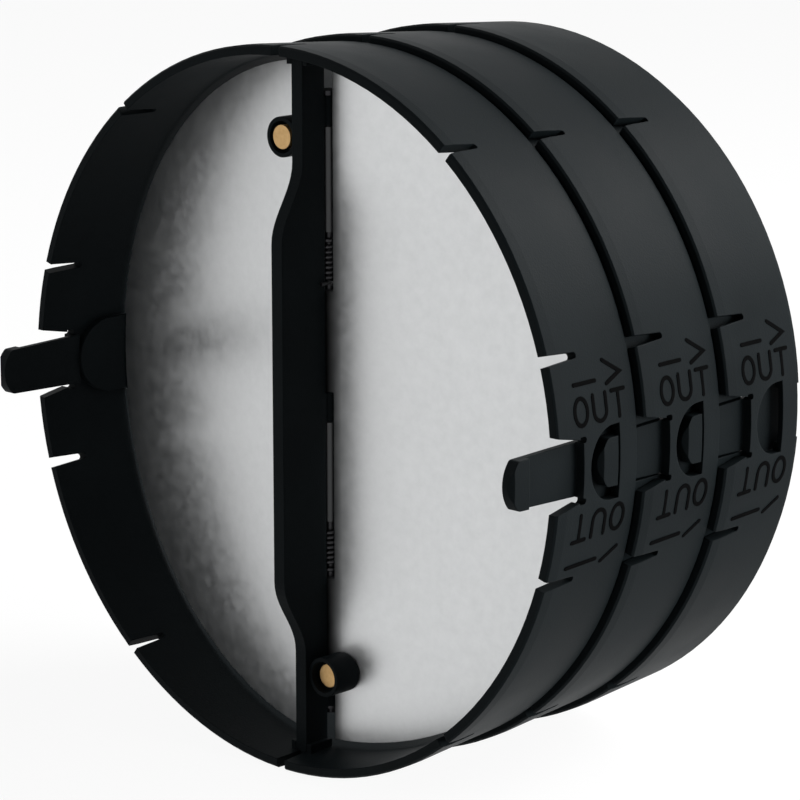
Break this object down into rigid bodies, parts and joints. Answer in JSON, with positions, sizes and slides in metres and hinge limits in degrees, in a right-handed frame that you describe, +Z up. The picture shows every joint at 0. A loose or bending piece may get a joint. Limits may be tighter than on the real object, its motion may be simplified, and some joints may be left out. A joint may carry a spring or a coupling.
{
  "type": "duct backdraft valve",
  "caption": "Round backdraft valve for an air duct: snap-together sleeve rings, a crossbar and sprung half-moon flaps that open one way.",
  "frame": {"origin": "centre of the whole length on the duct axis", "axes": "+Y along the duct, the way the air flows; +Z up along the hinge; +X to the right seen from the inlet"},
  "size_m": [0.1494, 0.0892, 0.15],
  "materials": {
    "black_plastic": "black moulded plastic with a fine satin grain",
    "magnet_plating": "brass-coloured plating, satin",
    "pin_steel": "blackened drawn steel",
    "flap_sheet": "light grey zinc-coated sheet, matt satin",
    "spring_wire": "oil-blackened spring wire"
  },
  "bodies": {
    "sleeve": {"ring_front": "black_plastic", "ring_middle": "black_plastic", "ring_rear": "black_plastic", "crossbar": "black_plastic", "magnet_upper": "magnet_plating", "magnet_lower": "magnet_plating", "hinge_pin": "pin_steel", "pin_clip": "pin_steel", "spring_upper": "spring_wire", "spring_lower": "spring_wire"},
    "left_wing": {"flap_left": "flap_sheet", "spring_leg_upper": "spring_wire"},
    "right_wing": {"flap_right": "flap_sheet", "spring_leg_lower": "spring_wire"}
  },
  "joints": [
    {"name": "left_flap_hinge", "type": "hinge", "parent": "sleeve", "child": "left_wing", "pos_m": [0, -0.01789, 0], "axis": [0, 0, -1], "range_deg": [0, 74], "stiffness_Nm_per_rad": 0.02, "springref_deg": -28.65},
    {"name": "right_flap_hinge", "type": "hinge", "parent": "sleeve", "child": "right_wing", "pos_m": [0, -0.01789, 0], "axis": [0, 0, 1], "range_deg": [0, 74], "stiffness_Nm_per_rad": 0.02, "springref_deg": -28.65}
  ]
}
